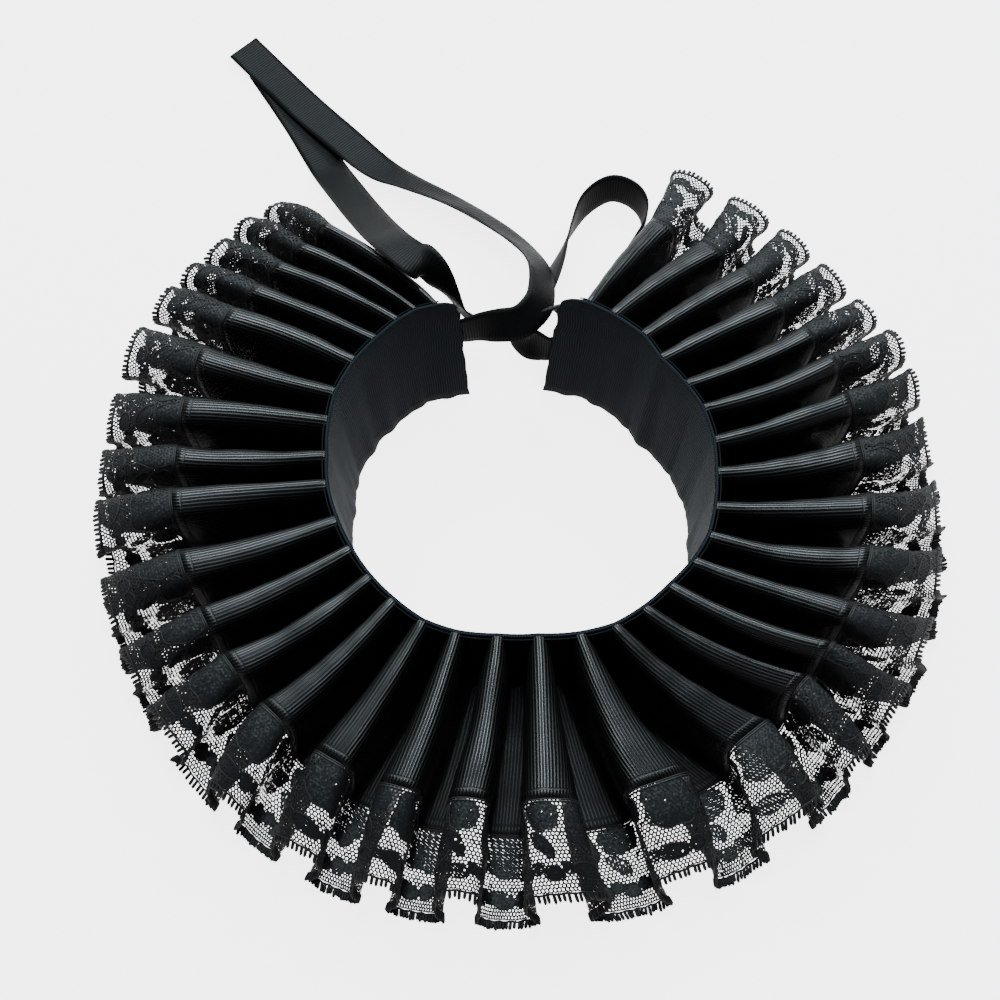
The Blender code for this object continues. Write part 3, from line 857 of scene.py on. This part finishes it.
# %% [markdown]
# ### The motifs
#
# A repeat has a large scalloped petal, a small leaf beside it, a long leaf below and a row of round
# eyes near the rim. They are generic shapes in a layout of their own. Each is a rounded square or
# ellipse whose radius also waves a few times round, so one function draws its outline and another
# tells what lies inside it.

# %% One repeat of the lace
Motif = namedtuple("Motif", "along down half_wide half_tall turn power lobes depth filled")
MOTIFS = (
    Motif(8.6, 7.0, 8.2, 7.6, 6, 3.0, 7, 0.05, 1),
    Motif(22.8, 4.6, 4.8, 4.8, -20, 2.3, 5, 0.06, 1),
    Motif(21.6, 13.4, 4.8, 2.1, 52, 1.8, 0, 0.0, 1),
    Motif(28.4, 11.6, 1.9, 1.5, -40, 1.8, 0, 0.0, 0),
    Motif(5.2, 21.8, 5.7, 2.6, 10, 1.9, 0, 0.0, 1),
    Motif(13.4, 21.6, 2.7, 2.6, 0, 2.0, 0, 0.0, 1),
    Motif(18.3, 20.6, 2.4, 1.9, -25, 2.0, 0, 0.0, 1),
    Motif(23.4, 22.2, 3.2, 2.4, 8, 2.0, 0, 0.0, 1),
    Motif(28.2, 20.8, 1.9, 1.9, 0, 2.0, 0, 0.0, 1),
    Motif(9.8, 18.4, 1.3, 1.0, 0, 2.0, 0, 0.0, 0),
    Motif(15.8, 17.6, 1.2, 1.4, 0, 2.0, 0, 0.0, 0),
    Motif(1.8, 18.0, 1.4, 1.0, 20, 2.0, 0, 0.0, 0),
)
HEADING = 0.4 * MM            # the lace's plain edge along the ribbon
REPEATS = round(LACE_LENGTH / (29.6 * MM))
REPEAT = LACE_LENGTH / REPEATS


def motif_radius(motif, angle):
    """1 / (|cos / wide|^p + |sin / tall|^p)^(1 / p), times 1 + depth cos(lobes angle)."""
    reach = (np.abs(np.cos(angle) / motif.half_wide) ** motif.power
             + np.abs(np.sin(angle) / motif.half_tall) ** motif.power) ** (-1 / motif.power)
    return reach * MM * (1 + motif.depth * np.cos(motif.lobes * angle))


def inside_motif(motif, along, down, margin=0.0):
    """Whether points of a repeat lie inside a motif, or within a margin of it."""
    x, y = along - motif.along * MM, down - motif.down * MM
    turn = math.radians(motif.turn)
    x, y = x * math.cos(turn) + y * math.sin(turn), y * math.cos(turn) - x * math.sin(turn)
    return np.hypot(x, y) < motif_radius(motif, np.arctan2(y, x)) + margin


def motif_outline(motif, spacing):
    """Evenly many points on a motif's outline, in metres in the repeat."""
    rough = 2 * math.pi * math.sqrt((motif.half_wide ** 2 + motif.half_tall ** 2) / 2) * MM
    angle = np.linspace(0.0, 2 * math.pi, max(8, round(rough / spacing)), endpoint=False)
    reach = motif_radius(motif, angle)
    turn = math.radians(motif.turn)
    x, y = reach * np.cos(angle), reach * np.sin(angle)
    along = motif.along * MM + x * math.cos(turn) - y * math.sin(turn)
    down = motif.down * MM + x * math.sin(turn) + y * math.cos(turn)
    return np.stack([along, np.maximum(down, HEADING)], axis=-1)


print(REPEATS, "repeats of", round(REPEAT / MM, 1), "mm")


# %% Flat threads
LOWEST_THREAD = 0.05 * MM


def flat_threads(starts, ends, width, tilt, lift):
    """Points and quads of one thin strip for each thread.

    A strip's side is cos(tilt) times the direction across the thread in the cloth, and sin(tilt)
    times the cloth's normal, so that threads also show from beside.
    """
    first, normal = lay_lace(starts, lift)
    last, _ = lay_lace(ends, lift)
    side = np.cross(normal, last - first)
    side /= np.maximum(np.linalg.norm(side, axis=-1, keepdims=True), 1e-12)
    side = side * np.cos(tilt)[:, None] + normal * np.sin(tilt)[:, None]
    half = side * width / 2
    points = np.stack([first - half, first + half, last + half, last - half], axis=1)
    points[..., 2] = np.maximum(points[..., 2], LOWEST_THREAD)
    return points.reshape(-1, 3), np.arange(len(starts) * 4).reshape(-1, 4)


# %% [markdown]
# ### The net
#
# Each row of the net is a zigzag, and every second point of it is tied to the row below. The cells
# are 1.3 mm wide. It starts a little inside the ribbon's edge, so that no slit shows. The threads are
# about three times as wide as real ones, because finer ones wash out over the bright table.

# %% The net ground
CELL = 1.3 * MM
CELL_SIDE = CELL / math.sqrt(3)
NET_JITTER = 0.055 * MM
NET_END = 1.9 * MM            # how far short of the rim its rows stop
NET_THREAD = 0.62 * MM
NET_START = -0.5 * MM
net_rows = int((LACE_WIDTH - NET_END) / (1.5 * CELL_SIDE)) + 1
net_columns = int(LACE_LENGTH / (CELL / 2)) + 1
net_along = np.arange(net_columns)[None, :] * CELL / 2
net_odd = (np.arange(net_rows)[:, None] + np.arange(net_columns)[None, :]) % 2
net_down = np.arange(net_rows)[:, None] * 1.5 * CELL_SIDE + net_odd * 0.5 * CELL_SIDE + NET_START
net_points = np.stack(np.broadcast_arrays(net_along, net_down), axis=-1)
net_points = net_points + chance.normal(0.0, NET_JITTER, net_points.shape)
net_points[..., 0] = np.clip(net_points[..., 0], 0.0, LACE_LENGTH)

zig_start, zig_end = net_points[:, :-1].reshape(-1, 2), net_points[:, 1:].reshape(-1, 2)
tied = net_odd[:-1].astype(bool)
tie_start, tie_end = net_points[:-1][tied], net_points[1:][tied]
net_start = np.concatenate([zig_start, tie_start])
net_end = np.concatenate([zig_end, tie_end])
print("the net has", len(net_start), "threads")

# %% The net as pieces
net_thread = thread_material("net_thread", "#010101", 0.6, 0.3 * MM)
NET_PIECES = 2
NET_LIFT = 0.12 * MM
order = np.clip((net_start[:, 0] / LACE_LENGTH * NET_PIECES).astype(int), 0, NET_PIECES - 1)
for part in range(NET_PIECES):
    mine = order == part
    tilt = chance.uniform(-0.3, 0.3, int(mine.sum()))
    points, faces = flat_threads(net_start[mine], net_end[mine], NET_THREAD, tilt, NET_LIFT)
    net = make_piece(f"lace_net_{part + 1}", points, faces, net_thread, "lace_edging", smooth=False)

# %% [markdown]
# ### Clothwork, cords and loops
#
# The dense motifs are clothwork: broad flat threads lie close side by side under the net, and a few
# are missing, which leaves pin holes. A cord lies round every motif. Two run along the ribbon's edge
# and one along the rim.

# %% The dense motifs
WEAVE_PITCH = 0.8 * MM
WEAVE_THREAD = 0.84 * MM
WEAVE_STEP = 0.9 * MM         # each thread of a motif is laid in short lengths, which lap
WEAVE_LAP = 0.2 * MM
WEAVE_TURN = 35
WEAVE_LIFT = -0.08 * MM
WEAVE_MARGIN = 0.1 * MM
PIN_HOLES = 0.02
weave_start, weave_end = [], []
for motif in MOTIFS:
    if not motif.filled:
        continue
    size = max(motif.half_wide, motif.half_tall) * MM * 1.2
    turn = math.radians(motif.turn + WEAVE_TURN)
    a, b = np.meshgrid(np.arange(-size, size, WEAVE_PITCH), np.arange(-size, size, WEAVE_STEP), indexing="ij")
    ends = []
    for c in (b - WEAVE_LAP, b + WEAVE_STEP + WEAVE_LAP):
        x = motif.along * MM + c * math.cos(turn) - a * math.sin(turn)
        y = motif.down * MM + c * math.sin(turn) + a * math.cos(turn)
        ends.append(np.stack([x.ravel(), y.ravel()], axis=-1))
    middle = (ends[0] + ends[1]) / 2
    kept = inside_motif(motif, middle[:, 0], middle[:, 1], WEAVE_MARGIN) & (middle[:, 1] > HEADING)
    weave_start.append(ends[0][kept])
    weave_end.append(ends[1][kept])
tile = np.stack([np.arange(REPEATS) * REPEAT, np.zeros(REPEATS)], axis=-1)[:, None, :]
all_start = (np.concatenate(weave_start)[None] + tile).reshape(-1, 2)
all_end = (np.concatenate(weave_end)[None] + tile).reshape(-1, 2)
laid = chance.uniform(0.0, 1.0, len(all_start)) > PIN_HOLES
all_start, all_end = all_start[laid], all_end[laid]
clothwork_thread = thread_material("clothwork_thread", "#030405", 0.8, 0.3 * MM)
points, faces = flat_threads(all_start, all_end, WEAVE_THREAD,
                             chance.uniform(-0.2, 0.2, len(all_start)), WEAVE_LIFT)
make_piece("lace_clothwork", points, faces, clothwork_thread, "lace_edging", smooth=False)

# %% The outline cords
CORD = 0.24 * MM
OUTLINE_STEP = 1.0 * MM
cord_thread = thread_material("cord_thread", "#010101", 0.6, 0.3 * MM)
cord_parts = []
for motif in MOTIFS:
    outline = motif_outline(motif, OUTLINE_STEP)
    rounds = outline[None] + tile
    centres, normals = lay_lace(rounds, 0.12 * MM)
    thick = CORD if motif.half_wide > 1.5 else 0.8 * CORD
    cord_parts.append(tubes(centres, normals, thick, 4, True))
points, faces = join_parts(cord_parts)
points[:, 2] = np.maximum(points[:, 2], LOWEST_THREAD)
make_piece("lace_cords", points, faces, cord_thread, "lace_edging")

# %% The cords along the two edges
border_parts = []
BORDER_STEP = 0.85 * MM
RIPPLE_LENGTH = 0.9 * MM
Border = namedtuple("Border", "down radius ripple")
BORDERS = (
    Border(-0.1 * MM, 0.35 * MM, 0.0),
    Border(0.6 * MM, 0.35 * MM, 0.0),
    Border(28.6 * MM, 0.4 * MM, 0.12 * MM),
)
edge_along = np.arange(0.0, LACE_LENGTH, BORDER_STEP)
for border in BORDERS:
    down = border.down + border.ripple * np.sin(edge_along / RIPPLE_LENGTH)
    line = np.stack([edge_along, down], axis=-1)[None]
    centres, normals = lay_lace(line, 0.05 * MM)
    border_parts.append(tubes(centres, normals, border.radius, 4, False))
points, faces = join_parts(border_parts)
points[:, 2] = np.maximum(points[:, 2], LOWEST_THREAD)
make_piece("lace_borders", points, faces, cord_thread, "lace_edging")

# %% The loops of the rim
LOOP_PITCH = 1.7 * MM
LOOP_START = 28.5 * MM
LOOP_END = 31.3 * MM
loop_at = np.arange(0.5 * LOOP_PITCH, LACE_LENGTH - 0.5 * LOOP_PITCH, LOOP_PITCH)
loop_at = loop_at + chance.normal(0.0, 0.12 * MM, len(loop_at))
loop_end = LOOP_END + chance.normal(0.0, 0.25 * MM, len(loop_at))
loop_share = np.array([0.0, 0.25, 0.6, 0.88, 1.0])
loop_down = LOOP_START + (loop_end[:, None] - LOOP_START) * loop_share[None, :]
loop_lean = chance.normal(0.0, 0.18 * MM, len(loop_at))[:, None] * loop_share[None, :]
loop_flat = np.stack([loop_at[:, None] + loop_lean, loop_down], axis=-1)
centres, normals = lay_lace(loop_flat, 0.0)
loop_wide = np.array([0.50, 0.58, 0.62, 0.56, 0.25]) * MM
points, faces = tubes(centres, normals, loop_wide[None, :], 5, False)
points[:, 2] = np.maximum(points[:, 2], LOWEST_THREAD)
make_piece("lace_loops", points, faces, cord_thread, "lace_edging")

# %% What the lace was cut to
print(len(loop_at), "loops along the rim")
